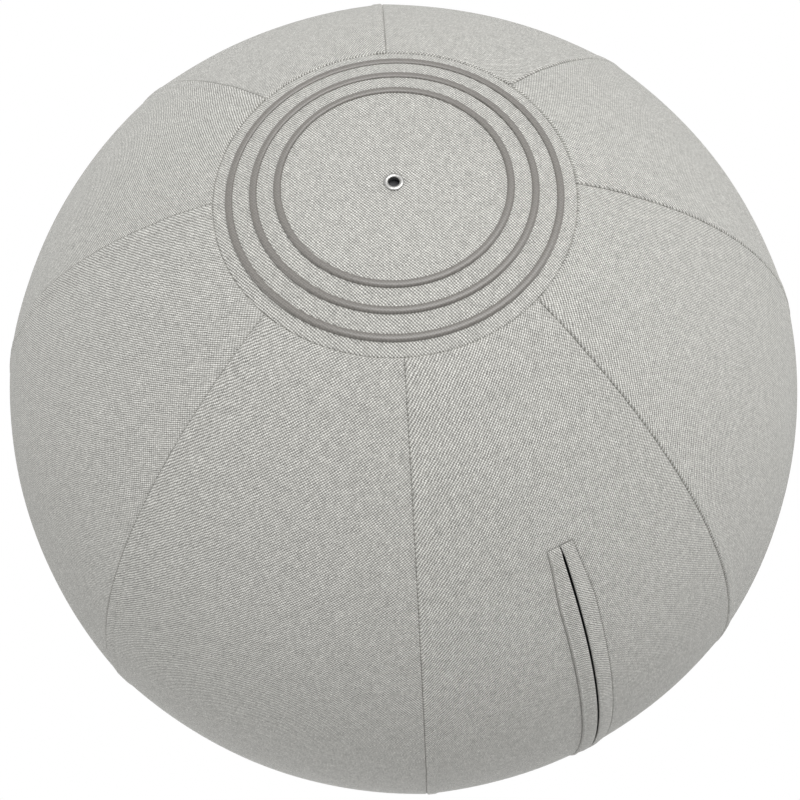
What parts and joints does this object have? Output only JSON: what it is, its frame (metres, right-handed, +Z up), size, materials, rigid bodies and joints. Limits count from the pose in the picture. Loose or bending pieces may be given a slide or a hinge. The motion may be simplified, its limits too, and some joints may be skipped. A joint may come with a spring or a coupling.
{
  "type": "exercise ball",
  "caption": "Inflated sitting and exercise ball in a zipped woven cloth cover sewn from gores, with raised anti-slip rings and a vent eyelet on its base disc.",
  "frame": {"origin": "on the floor under the middle of the base disc, level with the crown of the inner anti-slip ring", "axes": "+Z up through the top cap; -Y out through one of the side seams; the zip faces 22.5 degrees from -Y towards -X"},
  "size_m": [0.649, 0.6495, 0.6441],
  "materials": {
    "cover_cloth": "matt woven melange upholstery cloth",
    "silicone": "satin silicone bead",
    "nickel_steel": "nickel plated, polished",
    "zip_metal": "dark plated, satin",
    "zip_nylon": "black woven tape and nylon coil",
    "vinyl": "smooth charcoal vinyl, satin",
    "valve_plastic": "moulded white plastic"
  },
  "bodies": {
    "ball": {"anti_slip_ring_inner": "silicone", "anti_slip_ring_middle": "silicone", "anti_slip_ring_outer": "silicone", "base_disc": "cover_cloth", "eyelet": "nickel_steel", "eyelet_washer": "nickel_steel", "inner_ball": "vinyl", "side_panel_1": "cover_cloth", "side_panel_2": "cover_cloth", "side_panel_3": "cover_cloth", "side_panel_4": "cover_cloth", "side_panel_5": "cover_cloth", "side_panel_6": "cover_cloth", "side_panel_7": "cover_cloth", "top_cap": "cover_cloth", "valve_plug": "valve_plastic", "valve_seat": "vinyl", "zip_bottom_stop": "zip_metal", "zip_coil_left": "zip_nylon", "zip_coil_right": "zip_nylon", "zip_panel": "cover_cloth", "zip_tape_left": "zip_nylon", "zip_tape_right": "zip_nylon", "zip_top_stop_left": "zip_metal", "zip_top_stop_right": "zip_metal", "zip_welt_left": "cover_cloth", "zip_welt_right": "cover_cloth"},
    "slider": {"zip_slider": "zip_metal"},
    "pull": {"zip_pull": "zip_metal"}
  },
  "joints": [
    {"name": "slider_travel", "type": "hinge", "parent": "ball", "child": "slider", "pos_m": [0, 0, 0.31912], "axis": [0.9239, -0.3827, 0], "range_deg": [0, 85]},
    {"name": "pull_swing", "type": "hinge", "parent": "slider", "child": "pull", "pos_m": [-0.09695, -0.23406, 0.52461], "axis": [-0.9239, 0.3827, 0], "range_deg": [0, 150]}
  ]
}
